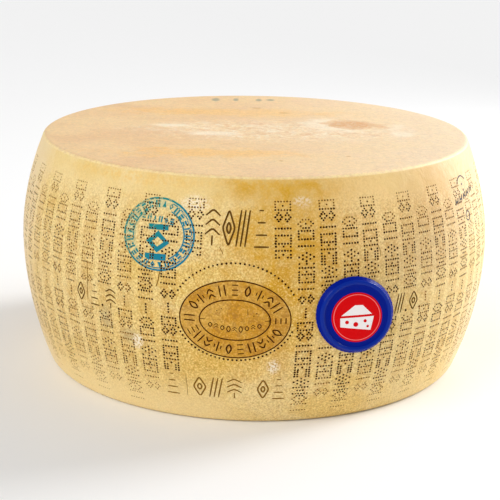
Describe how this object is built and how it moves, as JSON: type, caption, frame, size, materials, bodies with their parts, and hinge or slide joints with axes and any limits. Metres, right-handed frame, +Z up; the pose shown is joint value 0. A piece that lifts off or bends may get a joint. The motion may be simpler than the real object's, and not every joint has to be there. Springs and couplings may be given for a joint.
{
  "type": "parmesan wheel",
  "caption": "Aged hard cheese wheel with bulging sides, flat top and foot, a pin-pricked rind with pressed marks, and a slightly oval moulded badge on its side.",
  "frame": {"origin": "middle of the flat foot that the wheel stands on", "axes": "+Z up along the wheel's axis, -Y towards the marked front, +X to the right of a viewer in front"},
  "size_m": [0.4393, 0.4402, 0.2124],
  "materials": {
    "rind": "satin",
    "badge": "gloss"
  },
  "bodies": {
    "root": {"cheese_wheel": "rind", "seal_badge": "badge"}
  },
  "joints": []
}
